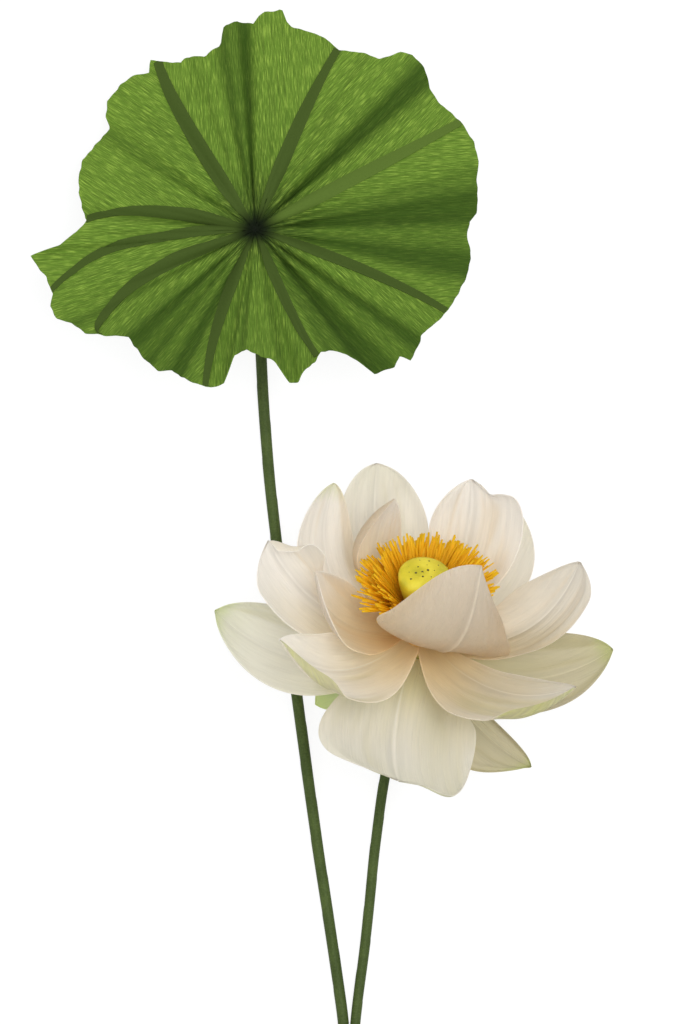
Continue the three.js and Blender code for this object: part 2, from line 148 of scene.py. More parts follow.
def paint(code):
    """A colour written as six hexadecimal digits, as the linear numbers that nodes take."""
    parts = [int(code[i:i + 2], 16) / 255 for i in (0, 2, 4)]
    return [p / 12.92 if p <= 0.04045 else ((p + 0.055) / 1.055) ** 2.4 for p in parts] + [1.0]


def new_material(name):
    material = bpy.data.materials.new(name)
    material.use_nodes = True
    material.node_tree.nodes.clear()
    return material, Wire(material.node_tree)


print("shader helper ready")


# %% Helpers for meshes
def finished_mesh(bm, name, finishes):
    mesh = bpy.data.meshes.new(name)
    bm.to_mesh(mesh)
    bm.free()
    for finish in finishes:
        mesh.materials.append(finish)
    return mesh


def placed(name, mesh):
    thing = bpy.data.objects.new(name, mesh)
    bpy.context.scene.collection.objects.link(thing)
    return thing


print("mesh helpers ready")

# %% Table
TABLE_HALF = 6.0
TABLE_GREY = (0.17, 0.17, 0.17, 1)
TABLE_GLOW = 0.86

white, desk = new_material("white table")
seen = desk.node("LightPath", {}, {}, "Is Camera Ray")
seen = seen.math("MAXIMUM", seen, desk.node("LightPath", {}, {}, "Is Glossy Ray"))
seen = seen.math("MAXIMUM", seen, desk.node("LightPath", {}, {}, "Is Transmission Ray"))
sheet = desk.node("BsdfDiffuse", {}, {"Color": TABLE_GREY})
glow = desk.node("Emission", {}, {"Color": (1, 1, 1, 1), "Strength": TABLE_GLOW})
lit = desk.node("AddShader", {}, {0: sheet, 1: glow})
plain = desk.node("BsdfDiffuse", {}, {"Color": (0.8, 0.8, 0.8, 1)})
desk.show(desk.node("MixShader", {}, {0: seen, 1: plain, 2: lit}))

table_bm = bmesh.new()
bmesh.ops.create_grid(table_bm, x_segments=1, y_segments=1, size=TABLE_HALF)
table = placed("table", finished_mesh(table_bm, "table", [white]))
print("table", table.dimensions[:])

# %% Light
ROOM_LIGHT = 0.72
LAMP_TARGET = Vector((0, 0, 0.05))

world = bpy.data.worlds.new("studio")
bpy.context.scene.world = world
world.use_nodes = True
world.node_tree.nodes.clear()
sky = Wire(world.node_tree)
sky_seen = sky.node("LightPath", {}, {}, "Is Camera Ray")
room = sky.node("Background", {}, {"Color": (0.96, 0.98, 1, 1), "Strength": ROOM_LIGHT})
backdrop = sky.node("Background", {}, {"Color": (1, 1, 1, 1), "Strength": 1.0})
sky.node("OutputWorld", {}, {"Surface": sky.node("MixShader", {}, {0: sky_seen, 1: room, 2: backdrop})})


def add_lamp(name, place, size, watts, colour):
    lamp = bpy.data.lights.new(name, "AREA")
    lamp.shape = "DISK"
    lamp.size = size
    lamp.energy = watts
    lamp.color = colour
    holder = placed(name, lamp)
    holder.location = place
    holder.rotation_euler = (LAMP_TARGET - Vector(place)).to_track_quat("-Z", "Y").to_euler()


add_lamp("window lamp", (-2.0, 0.9, 1.4), 1.4, 11, (1, 0.98, 0.95))
add_lamp("top lamp", (0.5, 0.3, 2.5), 1.6, 42, (1, 1, 1))

# %% [markdown]
# ## Sheets of paper
#
# Petals, gores and veins are all one thing: a cut sheet, bent in space. So there is one helper. It
# starts from a flat grid, asks a function where each corner goes, and keeps notes on the paper:
# a UV map in millimetres of flat paper, which the crepe grain follows, how far along and across the
# piece a point is, and how much painted shade it takes, which is deepest in creases, pleats and rolled
# margins, and which gives a rolled margin on the folded back its green. A Solidify modifier gives the
# paper its thickness, and can put another finish on the back, because dyed crepe is rarely the same on
# both faces.


# %% The sheet helper
def mix(a, b, share):
    return a + (b - a) * share


def smooth(value, low, high):
    share = min(max((value - low) / (high - low), 0.0), 1.0)
    return share * share * (3 - 2 * share)


def add_piece(name, mesh, node=None):
    """A piece that rides on the part, and that may stand in for a CAD node."""
    piece = placed(name, mesh)
    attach(piece, "root")
    if node:
        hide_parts(node)
    return piece


def give_thickness(piece, paper, finishes=1):
    """Paper as thick as asked, in millimetres, with its last finish on the back."""
    shell = piece.modifiers.new("paper", "SOLIDIFY")
    shell.thickness = paper * MM
    shell.offset = 0.0
    shell.material_offset = finishes - 1


def lay_flat(bm, uv, flat):
    """Shades the faces smooth and notes where their corners lie on the flat paper."""
    for face in bm.faces:
        face.smooth = True
        for loop in face.loops:
            loop[uv].uv = flat[loop.vert]


def paper_sheet(node, columns, rows, place, paper, finishes):
    bm = bmesh.new()
    bmesh.ops.create_grid(bm, x_segments=columns, y_segments=rows, size=1.0)
    along = bm.verts.layers.float.new("along")
    across = bm.verts.layers.float.new("across")
    # A share of painted shade kept at the corners: it darkens creases, pleats and rolled margins, and
    # gives a rolled margin on the folded back its green
    tint = bm.verts.layers.float.new("tint")
    uv = bm.loops.layers.uv.new("flat paper")
    flat = {}
    for vert in bm.verts:
        notes = place((vert.co.x + 1) / 2, (vert.co.y + 1) / 2)
        spot, flat[vert], vert[along], vert[across], vert[tint] = notes
        vert.co = spot * MM
    for edge in bm.edges:
        edge.smooth = not edge.is_boundary
    lay_flat(bm, uv, flat)
    mesh = finished_mesh(bm, node + "_paper", finishes)
    give_thickness(add_piece(node + "_paper", mesh, node), paper, len(finishes))


print("sheet helper ready")

# %% [markdown]
# ## Crepe paper
#
# Crepe is paper pushed into thousands of fine ridges that all run one way. On a petal they run from
# foot to tip, about a millimetre apart, and on the leaf they are finer and their crests carry a painted
# highlight of pale flecks. Both are noise that is stretched along the paper's own UV map, and the same
# noise lightens the crests and darkens the grooves as painted light and shade. The dye runs from a
# golden foot to a cream tip, which is a colour ramp on the distance along the piece, and some tips are
# green. The crease along the midrib is painted as a pale line, a painted highlight, between two flanks
# darkened as painted shade. Creases, pleats and rolled margins are darkened too, as painted shade.


# %% The crepe finish
def crepe(name, ramp, pitch, ridge, streak, tip=("c3cb86", 0), crease=("f4eee2", 0), fleck=("ffffff", 0),
          deep=("202020", 0), thin=0.7, glow=("ffffff", 0.62), stretch=11):
    """A finish with its ramp of colours from foot to tip, ridge pitch and height in millimetres.

    Tip, crease, fleck, deep and glow are a colour and its share. Tip is the green of a tip, crease a
    painted highlight along the midrib, fleck a painted highlight on the grain's crests, and deep a
    painted shade in creases, pleats and rolled margins, which on the folded back is also the margin's own
    green.
    Streak is how much the grain lightens its crests and darkens its grooves, a painted light and shade.
    Glow tints the light let through. Thin is the share of light let through.
    """
    material, ink = new_material(name)
    paper_map = ink.node("UVMap", {"uv_map": "flat paper"}, {})
    sides = ink.node("SeparateXYZ", {}, {0: paper_map})
    lengthwise = Wire(sides.tree, sides.socket.node.outputs[1])
    along = ink.note("along")
    across = ink.note("across")
    tint = ink.note("tint")

    def grain(wide, long):
        spot = ink.node("CombineXYZ", {}, {0: sides * (1 / wide), 1: lengthwise * (1 / long)})
        return ink.speckle(spot, 1.0, 2.0, 0.6)

    ridges = grain(pitch, pitch * stretch)
    streaks = grain(pitch * 3.2, pitch * 3.6 * stretch)
    cloud = grain(30.0, 45.0)

    stops = [(position, paint(code)) for position, code in ramp]
    dye = ink.node("ValToRGB", {"stops": stops}, {0: along + (cloud - 0.5) * 0.16 * along.rise(0.0, 0.3)})
    dye = dye.blend((along + (streaks - 0.5) * 0.1).rise(0.9, 1.0) * tip[1], paint(tip[0]))
    aside = across.math("ABSOLUTE", across, 0.0)
    # The pale line along the midrib crease is a painted highlight, and the darker flanks beside it are
    # painted shade
    middle = (1 - aside.rise(0.0, 0.035)) * along.rise(0.05, 0.3)
    flank = aside.rise(0.015, 0.05) * (1 - aside.rise(0.05, 0.16)) * along.rise(0.05, 0.25) * crease[1]
    dye = dye.blend(middle * crease[1], paint(crease[0]))
    # Pale flecks on the crests of the grain: a painted highlight
    dye = dye.blend(ridges.rise(0.5, 0.64) * along.rise(0.04, 0.2) * fleck[1], paint(fleck[0]))
    # Painted shade in creases, pleats and rolled margins; on the folded back the same blend also gives
    # the rolled margin its own green
    dye = dye.blend(tint * (streaks + 0.5) * deep[1], paint(deep[0]))
    # The grain is painted lighter on its crests and darker in its grooves, a painted light and shade that
    # follows the bump
    tone = (ridges - 0.5) * streak + (streaks - 0.5) * streak + 1.0 - flank * 0.17
    shade = ink.node("VectorMath", {"operation": "SCALE"}, {0: dye, 3: tone})

    relief = ink.relief(ridges + streaks * 0.6, ridge)
    body = ink.node("BsdfPrincipled", {}, {"Base Color": shade, "Roughness": 0.82, "Normal": relief,
                                           "Specular IOR Level": 0.25})
    lit = shade.blend(glow[1], paint(glow[0]))
    through = ink.node("BsdfTranslucent", {}, {"Color": lit, "Normal": relief})
    paper = ink.node("MixShader", {}, {0: thin, 1: body, 2: through})
    ink.show(paper)
    return material


# In each finish below, deep is the colour of painted shade in creases and crease a painted highlight
# along the midrib; the folded back's deep is also its margin's green
CREAM_RAMP = [(0.0, "f6d096"), (0.16, "fde6c2"), (0.38, "fef1de"), (0.65, "faf3ea"), (1.0, "f6f0e8")]
PALE_RAMP = [(0.0, "e6d5a2"), (0.4, "ece3cb"), (1.0, "efe8d8")]
HEART_FACE = crepe("heart petal, inner face",
                   [(0.0, "f8c678"), (0.2, "ffe0a8"), (0.5, "ffedc8"), (0.8, "fcf0dc"), (1.0, "f8f0e4")],
                   1.1, 0.42, 0.22, crease=("fbf6ec", 0.25), deep=("f4d4a2", 0.4), thin=0.72)
HEART_BACK = crepe("heart petal, outer face",
                   [(0.0, "d8be8c"), (0.3, "d4c5ac"), (0.7, "d1c7b6"), (1.0, "dad1c3")],
                   0.8, 0.8, 0.24, crease=("f6eedb", 0.7), deep=("ccbb98", 0.35), stretch=4)
MIDDLE_FACE = crepe("middle petal, inner face", CREAM_RAMP,
                    1.1, 0.42, 0.22, crease=("fffaf2", 0.75), deep=("ecd4b0", 0.5))
TINGED_FACE = crepe("upper petal, inner face with a tinge of green", CREAM_RAMP,
                    1.1, 0.42, 0.22, tip=("d3da92", 0.6), crease=("fcf8f0", 0.5), deep=("ecd4b0", 0.5))
SIDE_FACE = crepe("right petal, inner face",
                  [(0.0, "e8c084"), (0.2, "ecd2a8"), (0.45, "dfd1b9"), (1.0, "d0c7b6")],
                  1.1, 0.42, 0.22, crease=("f6eee0", 0.7), deep=("dcc4a0", 0.5))
MIDDLE_BACK = crepe("middle petal, outer face", PALE_RAMP,
                    1.1, 0.42, 0.2, crease=("f6f0e4", 0.4), deep=("d8caa2", 0.4))
# Its deep colour gives the margin rolled inwards its green, partly the paper's own green and partly
# painted shade under the fold
FOLDED_BACK = crepe("middle petal, outer face with green margin", PALE_RAMP,
                    1.3, 0.6, 0.8, deep=("b4ba68", 0.85), stretch=4)
OUTER_FACE = crepe("outer petal, inner face",
                   [(0.0, "dfbc74"), (0.2, "e8d2a4"), (0.45, "eaddc8"), (0.8, "eae1d4"), (1.0, "ebe3d6")],
                   1.2, 0.45, 0.24, crease=("f8f3e6", 0.45), deep=("dccfb0", 0.45))
FRONT_FACE = crepe("front petal, inner face",
                   [(0.0, "cdae6c"), (0.2, "dccb9f"), (0.45, "dfd5be"), (0.8, "e1d9ca"), (1.0, "e0d8c8")],
                   0.9, 0.5, 0.26, crease=("f8f0e2", 0.8), deep=("cfc3a2", 0.5), stretch=20)
GREEN_TIP = crepe("outer petal, inner face with green tip",
                  [(0.0, "d6bb72"), (0.2, "e4d6a8"), (0.45, "f0ead6"), (0.8, "e4e0d0"), (1.0, "d6d4b8")],
                  1.2, 0.45, 0.22, tip=("b7c465", 0.8), crease=("f8f3e6", 0.4), deep=("d6cda2", 0.45))
# The low petals get a darker copy of the outer finish, a painted shade for lying under the petals above
SHADED_FACE = crepe("low petal in painted shade, inner face with green tip",
                    [(0.0, "bca265"), (0.2, "cabb90"), (0.45, "c6bd9e"), (0.8, "c8bfa5"),
                     (1.0, "c4be9c")],
                    1.2, 0.45, 0.22, tip=("aab65a", 0.6), crease=("e2dac0", 0.45), deep=("b0a476", 0.5),
                    glow=("efe8d0", 0.4))
OUTER_BACK = crepe("outer petal, outer face",
                   [(0.0, "d2d094"), (0.3, "e0ddb8"), (0.7, "e8e5d0"), (1.0, "dcdcb4")],
                   1.2, 0.45, 0.2, crease=("f4eee2", 0.2), deep=("c0c288", 0.4))
SEPAL_FACE = crepe("sepal", [(0.0, "9cac48"), (0.5, "b4c650"), (1.0, "c3d45c")], 1.2, 0.28, 0.2)
print("crepe finishes", [m.name for m in bpy.data.materials])

# %% [markdown]
# ## Petals
#
# Each petal was cut as a pointed oval, stretched over the thumb into a cup, and glued to the core by
# its narrow foot. One formula serves them all: a midrib that bends from foot to tip, a width that
# swells and closes, and an arc across it that is the cup. It is the formula of the CAD sheets, so
# each piece lies where its solid lies, apart from a few tips and widths that were fitted again. The
# extra numbers are what the hand did afterwards: a margin rolled or pulled, a wavy edge, a fold along
# the midrib and a slight waver of the rim.

# %% The bloom's frame and its petals
SPRAY_X, SPRAY_Y = 57.049, -45.618
BLOOM_AT = Vector((SPRAY_X, SPRAY_Y, 36.622))
AXIS_RISE = math.radians(42)
AXIS_TURN = math.radians(6)
AXIS = Vector((math.cos(AXIS_RISE) * math.sin(AXIS_TURN), math.cos(AXIS_RISE) * math.cos(AXIS_TURN),
               math.sin(AXIS_RISE)))
FOCUS = AXIS * 70
SEAT = 10.6
BASE_CUP = 18
PETAL_PAPER = 0.6
TIP_HALF_WIDTH = 0.7
LOWEST = 0.5
# Rows of a sheet crowd towards the petal's tip and the leaf's hub
PETAL_CROWDING = 1.35
LEAF_CROWDING = 1.25
RINGS = {"inner": 5, "front": 3, "middle": -2, "outer": -8, "low": -13, "sepal": -18}

# name: ring, tip, bulge, sway, face, then for both halves foot, half width, cup, widest place, roundness
PETALS = {
    "petal_inner_front": ("inner", (37, 43, 68), 26, 6, -0.8,
        (20, 6), (47, 51), (50, 38), (0.2, 0.35), (1.0, 0.46)),
    "petal_inner_left": ("inner", (-61, 39, 47), 14, -6, 0.4,
        (5, 5), (33, 22), (42, 75), (0.55, 0.55), (0.55, 0.62)),
    "petal_inner_back": ("inner", (-14, 82, 16), 18, -8, 0.2,
        (5, 5), (30, 15), (60, 60), (0.62, 0.6), (0.55, 0.62)),
    "petal_middle_left": ("middle", (-89, 58, 32), 9, -9, 0.8,
        (4, 4), (40, 25), (40, 85), (0.88, 0.82), (0.45, 0.3)),
    "petal_front_left": ("front", (-82, -1, 72), 14, -12, 0.8,
        (14, 4), (40, 23), (55, 60), (0.5, 0.5), (0.62, 0.62)),
    "petal_front_right": ("front", (93, -29, 64), 10, 12, 1,
        (4, 12), (12, 36), (75, 50), (0.5, 0.42), (0.62, 0.75)),
    "petal_right": ("middle", (96, 45, 32), 12, 16, 0.9,
        (4, 3), (24, 26), (50, 45), (0.6, 0.9), (0.8, 0.52)),
    "petal_back_right": ("middle", (32, 94, 5), 12, 5, 0.2,
        (4, 4), (24, 44), (40, 45), (0.65, 0.8), (0.62, 0.28)),
    "petal_upper_left": ("middle", (-50, 92, -6), 18, -18, 0.4,
        (4, 4), (32, 18), (45, 55), (0.6, 0.6), (0.55, 0.62)),
    "petal_outer_left": ("outer", (-121, 16, 38), 12, -14, 1.2,
        (5, 5), (30, 28), (35, 45), (0.6, 0.6), (0.62, 0.62)),
    "petal_outer_front": ("outer", (-12, -84, 66), 10, 5, 0.2,
        (5, 5), (50, 49), (30, 30), (0.6, 0.74), (0.3, 0.34)),
    "petal_outer_low_right": ("low", (67, -77, 28), 14, 0, 0.3,
        (5, 5), (10, 32), (70, 30), (0.64, 0.64), (0.62, 0.62)),
    "petal_outer_right": ("outer", (116, -7, 30), 10, 14, 1,
        (5, 5), (28, 32), (40, 40), (0.58, 0.58), (0.62, 0.62)),
    "petal_outer_back_right": ("outer", (57, 79, -26), 10, 0, 0.2,
        (5, 5), (24, 38), (35, 35), (0.62, 0.62), (0.62, 0.6)),
    "petal_outer_back": ("outer", (-24, 104, -30), 14, -6, 0.2,
        (5, 5), (26, 32), (22, 40), (0.62, 0.62), (0.48, 0.48)),
    "sepal_left": ("sepal", (-61, -40, 15), 4, 0, 1.1,
        (4, 4), (13, 13), (30, 30), (0.55, 0.55), (0.42, 0.42)),
    "sepal_front": ("sepal", (-10, -48, 2), 4, 0, 0.2,
        (4, 4), (12, 12), (30, 30), (0.5, 0.5), (0.62, 0.62)),
    "sepal_right": ("sepal", (48, -14, -24), 4, 0, 0.2,
        (4, 4), (12, 12), (30, 30), (0.5, 0.5), (0.62, 0.62)),
    "sepal_back": ("sepal", (-8, 30, -32), 4, 0, 0.2,
        (4, 4), (12, 12), (30, 30), (0.5, 0.5), (0.62, 0.62)),
}

# What the hand did to single petals. Rolls are (half, start across, degrees, from, to) and fold
# inwards where the degrees are negative. Waves of the cut edge are (half, place across, spread,
# lengthening) in millimetres. Pulls are (half, way, from, to) of a margin. Hugs are (half, degrees) by
# which the foot wraps the core, and ribs scale the creases.
HANDWORK = {
    "petal_inner_front": {"pulls": [(0, (-1, -10, 6), 0.08, 0.55)]},
    "petal_inner_back": {"rolls": [(0, 0.55, -75, 0.3, 1.3)]},
    "petal_middle_left": {"waves": [(1, 11, 7, -5), (1, 25, 5, 3)],
                          "pulls": [(1, (-7, -7, 8), 0.3, 0.66), (1, (5, -6, 5), 0.78, 1.2)]},
    "petal_front_left": {"rolls": [(0, 0.72, -150, 0.76, 1.3)], "hugs": [(0, 70)]},
    "petal_front_right": {"rolls": [(1, 0.72, -150, 0.7, 1.3)], "hugs": [(1, 70)]},
    "petal_right": {"rolls": [(1, 0.72, 36, 0.55, 1.3)]},
    "petal_back_right": {"waves": [(1, 14, 7, -5), (1, 40, 11, 8)], "ribs": 2.0},
    "petal_upper_left": {"rolls": [(1, 0.6, -45, 0.35, 1.3)]},
    "petal_outer_front": {"rolls": [(1, 0.8, 60, 0.4, 0.95)], "waves": [(0, 30, 17, 31)], "ribs": 1.4},
    "petal_outer_low_right": {"ribs": 1.6},
}
print("petals", len(PETALS))


# %% A petal's surface
def square_to(vector, direction):
    return (vector - direction * vector.dot(direction)).normalized()


def facing(face, spot, direction):
    return square_to((FOCUS - spot).normalized() + Vector((0, 0, face)), direction)


def midrib_of(ring, tip, bulge, sway, face):
    handle = tip
    for _ in range(4):
        foot = square_to(handle, AXIS) * SEAT + AXIS * RINGS[ring]
        middle = (foot + tip) / 2
        chord = (tip - foot).normalized()
        inward = facing(face, middle, chord)
        handle = middle - inward * 2 * bulge + chord.cross(inward) * 2 * sway
    return foot, handle, tip


def half_width(foot, width, widest, roundness, v):
    if v < widest:
        return mix(foot, width, math.sin(math.pi / 2 * max(v, 0) / widest))
    beyond = min((v - widest) / (1 - widest), 1)
    return max(width * (1 - beyond ** 2) ** roundness, TIP_HALF_WIDTH)


def across_arc(x, cup, start, roll):
    """How far out and in a point lies on a cup whose margin rolls back from start."""
    reach = min(x, start)
    out = math.sin(cup * reach) / cup
    into = (1 - math.cos(cup * reach)) / cup
    if x > start:
        turn = cup * start
        if abs(roll) < 0.02:
            out += math.cos(turn) * (x - start)
            into += math.sin(turn) * (x - start)
        else:
            bend = -roll / (1 - start)
            end = turn + bend * (x - start)
            out += (math.sin(end) - math.sin(turn)) / bend
            into += (math.cos(turn) - math.cos(end)) / bend
    return out, into


def above_table(spot):
    """A paper that would sink into the table is eased to lie just above it."""
    soft = LOWEST + 2
    if spot.z < soft:
        spot.z = LOWEST + 2 * math.exp((spot.z - soft) / 2)
    return spot


def petal_place(name):
    ring, tip, bulge, sway, face, feet, widths, cups, widest, roundness = PETALS[name]
    work = HANDWORK.get(name, {})
    foot, handle, tip = midrib_of(ring, Vector(tip), bulge, sway, face)
    length = (handle - foot).length * 0.5 + (tip - handle).length * 0.5
    seed = sum(ord(letter) for letter in name)

    def rolled(half, v):
        for on, begin, degrees, low, high in work.get("rolls", []):
            if on == half:
                share = smooth(v, low - 0.1, low + 0.1) * (1 - smooth(v, high - 0.1, high + 0.1))
                return begin, math.radians(degrees) * share
        return 1.0, 0.0

    def ribs(x, v):
        """Long creases, in shares of their height, that fade towards midrib, foot and tip."""
        coarse = noise.noise(Vector((x * 2.6 + seed, v * 0.8, 0.3)))
        fine = noise.noise(Vector((x * 7.0 + seed, v * 1.4, 2.1)))
        creases = (coarse + 0.5 * fine) * smooth(v, 0.1, 0.45)
        return creases * (1 - 0.7 * smooth(v, 0.85, 1.0)) * smooth(abs(x), 0, 0.25)

    def place(u, row):
        v = 1 - (1 - row) ** PETAL_CROWDING
        spot = foot * (1 - v) ** 2 + handle * 2 * v * (1 - v) + tip * v * v
        tangent = ((handle - foot) * (1 - v) + (tip - handle) * v).normalized()
        inward = facing(face, spot, tangent)
        side = tangent.cross(inward)
        x = 2 * u - 1
        half = 0 if x < 0 else 1
        reach = abs(x)
        hug = sum(degrees for on, degrees in work.get("hugs", []) if on == half) or BASE_CUP
        cup = math.radians(mix(hug, cups[half], smooth(v, 0, 0.45)))
        start, roll = rolled(half, v)
        width = half_width(feet[half], widths[half], widest[half], roundness[half], v)
        width *= 1 + 0.08 * max(-roll, 0)
        out, into = across_arc(reach, cup, start, roll)
        waver = noise.noise(Vector((v * 4, x * 1.5, seed * 0.37))) * 1.8 * reach ** 2
        waver *= smooth(v, 0.15, 0.5)
        fold = 1.1 * math.exp(-reach * width / 2.0) * smooth(v, 0.05, 0.3)
        rib = ribs(x, v)
        raised = into * width + waver - fold + rib * 1.3 * work.get("ribs", 1.0)
        spot = spot + side * math.copysign(out * width, x) + inward * raised
        for on, at, spread, lengthen in work.get("waves", []):
            if on == half:
                share = math.exp(-((reach * width - at) / spread) ** 2) * smooth(v, 0.5, 0.9)
                spot = spot + tangent * lengthen * share
        for on, pull, low, high in work.get("pulls", []):
            if on == half:
                share = smooth(v, low - 0.15, low + 0.05) * (1 - smooth(v, high - 0.15, high + 0.15))
                spot = spot + Vector(pull) * share * reach ** 2
        # A share of painted shade, deepest in the valleys of the creases and over a margin rolled
        # inwards, where the folded back takes it as green
        dark = smooth(-rib, 0.05, 0.5)
        if roll < 0:
            dark = max(dark, smooth(reach, start - 0.04, start + 0.04) * min(-roll, 1))
        return above_table(BLOOM_AT + spot), (x * width + seed, v * length), v, x, dark

    return place


RING_FINISHES = {
    "inner": [HEART_FACE, HEART_BACK], "front": [MIDDLE_FACE, FOLDED_BACK],
    "middle": [MIDDLE_FACE, MIDDLE_BACK], "outer": [OUTER_FACE, OUTER_BACK],
    "low": [OUTER_FACE, OUTER_BACK], "sepal": [SEPAL_FACE],
}
OWN_FINISHES = {
    "petal_front_right": [SIDE_FACE, FOLDED_BACK], "petal_right": [SIDE_FACE, MIDDLE_BACK],
    "petal_upper_left": [TINGED_FACE, MIDDLE_BACK], "petal_outer_left": [GREEN_TIP, OUTER_BACK],
    "petal_outer_front": [FRONT_FACE, OUTER_BACK], "petal_outer_right": [SHADED_FACE, OUTER_BACK],
    "petal_outer_low_right": [SHADED_FACE, OUTER_BACK],
}

for name, (ring, *_) in PETALS.items():
    columns, rows = (16, 24) if ring == "sepal" else (60, 72)
    finishes = OWN_FINISHES.get(name, RING_FINISHES[ring])
    paper_sheet(name, columns, rows, petal_place(name), PETAL_PAPER, finishes)
print("petal pieces", len(PETALS))

# %% [markdown]
# ## Heart of the bloom
#
# The pod is a cone with a domed lid, so a profile is spun about the bloom's axis. Its dark seeds are
# small domes on the lid. The stamens are what a knife leaves of a strip of orange paper: narrow
# ribbons that flare outwards, each twisted a little its own way. Every ribbon is a grid of a few
# faces, and a short collar joins them at the pod's foot.

# %% The heart's frame
RIGHT = square_to(Vector((1, 0, 0)), AXIS)
BACK = AXIS.cross(RIGHT)


def heart_spot(radius, turn, height):
    return BLOOM_AT + AXIS * height + (RIGHT * math.cos(turn) + BACK * math.sin(turn)) * radius


def shade_smooth(bm):
    for face in bm.faces:
        face.smooth = True


def spun(name, profile, steps, finish):
    """A profile of (radius, height) turned about the bloom's axis."""
    bm = bmesh.new()
    verts = [bm.verts.new(heart_spot(radius, 0, height) * MM) for radius, height in profile]
    edges = [bm.edges.new(pair) for pair in zip(verts, verts[1:])]
    bmesh.ops.spin(bm, geom=verts + edges, cent=BLOOM_AT * MM, axis=AXIS, angle=2 * math.pi, steps=steps,
                   use_merge=True, use_duplicate=False)
    bmesh.ops.remove_doubles(bm, verts=bm.verts, dist=1e-6)
    bmesh.ops.recalc_face_normals(bm, faces=bm.faces)
    shade_smooth(bm)
    return finished_mesh(bm, name, [finish])


# %% Seed pod
def pod_finish():
    material, ink = new_material("pod paper")
    spot = ink.node("TexCoord", {}, {}, "Object")
    blotch = ink.speckle(spot, 90.0, 3.0)
    fine = ink.speckle(spot, 900.0, 2.0)
    stops = [(0.3, paint("b8ac1c")), (0.5, paint("d0be26")), (0.7, paint("dfcf38"))]
    dye = ink.node("ValToRGB", {"stops": stops}, {0: blotch})
    relief = ink.relief(fine + blotch, 0.25)
    body = ink.node("BsdfPrincipled", {}, {"Base Color": dye, "Roughness": 0.6, "Normal": relief})
    ink.show(body)
    return material


POD_FOOT = 8.3
POD_TOP = 54
POD_PROFILE = [(0, POD_FOOT), (6, POD_FOOT), (6, 20), (8, 24), (11, 31), (13.4, 38), (15.2, 44),
               (15.9, 48), (15.8, 49.8), (15.2, 51.2), (13.6, 52.2), (11, 53), (7, 53.6), (3.5, 53.9),
               (0, POD_TOP)]
pod_mesh = spun("seed_pod_paper", POD_PROFILE, 64, pod_finish())
add_piece("seed_pod_paper", pod_mesh, "seed_pod")
print("pod faces", len(pod_mesh.polygons))


# %% Seeds on the pod
def seed_finish():
    material, ink = new_material("seed dot")
    spot = ink.node("TexCoord", {}, {}, "Object")
    mottle = ink.speckle(spot, 700.0, 2.0)
    stops = [(0.35, paint("4a4310")), (0.65, paint("70651f"))]
    dye = ink.node("ValToRGB", {"stops": stops}, {0: mottle})
    body = ink.node("BsdfPrincipled", {}, {"Base Color": dye, "Roughness": 0.7})
    ink.show(body)
    return material


def pod_lid(radius):
    return POD_TOP - 0.012 * radius ** 2 - 1.1 * max(radius - 11, 0) / 4


# Rings of seeds: radius, number, turn of the first one
SEED_RINGS = [(1.8, 2, 0.4), (5.6, 6, 0.2), (10.2, 11, 0.0)]
seeds = bmesh.new()
for radius, count, lead in SEED_RINGS:
    for i in range(count):
        turn = lead + 2 * math.pi * i / count + 0.18 * math.sin(7 * i)
        middle = heart_spot(radius + 0.8 * math.sin(3 * i), turn, pod_lid(radius) - 0.15)
        size = 0.62 + 0.22 * math.sin(5 * i + radius)
        ball = bmesh.ops.create_uvsphere(seeds, u_segments=10, v_segments=6, radius=size * MM)["verts"]
        bmesh.ops.translate(seeds, vec=middle * MM, verts=ball)
shade_smooth(seeds)
add_piece("pod_seeds", finished_mesh(seeds, "pod_seeds", [seed_finish()]))
print("seeds", sum(count for _, count, _ in SEED_RINGS))


# %% Stamens
def stamen_finish():
    material, ink = new_material("stamen paper")
    along = ink.note("along")
    own = ink.note("across")
    stops = [(0.0, paint("ffae08")), (0.3, paint("ffcc14")), (0.7, paint("ffd61c")),
             (1.0, paint("ffdc36"))]
    dye = ink.node("ValToRGB", {"stops": stops}, {0: along + (own - 0.5) * 0.35})
    body = ink.node("BsdfPrincipled", {}, {"Base Color": dye, "Roughness": 0.7})
    through = ink.node("BsdfTranslucent", {}, {"Color": dye.blend(0.5, (1, 0.86, 0.1, 1))})
    paper = ink.node("MixShader", {}, {0: 0.7, 1: body, 2: through})
    ink.show(paper)
    return material


STAMEN = stamen_finish()
STAMEN_PAPER = 0.35
COLLAR_PAPER = 0.7
# Some ribbons between these two turns stray outwards and hang low
STRAY_FROM, STRAY_TO = 3.35, 3.95
# Fringes: node, radius of the foot, top of the glued band, knee, tip, number of ribbons
FRINGES = [("stamen_fringe_inner", 6.65, 20.3, (18, 36), (29.5, 48), 300),
           ("stamen_fringe_outer", 7.65, 18.3, (21, 32), (37, 41), 420)]


def chance(number, lane):
    """A repeatable number from 0 to 1 that has nothing to do with its neighbours."""
    return math.sin(number * 12.9898 + lane * 78.233) * 43758.5453 % 1


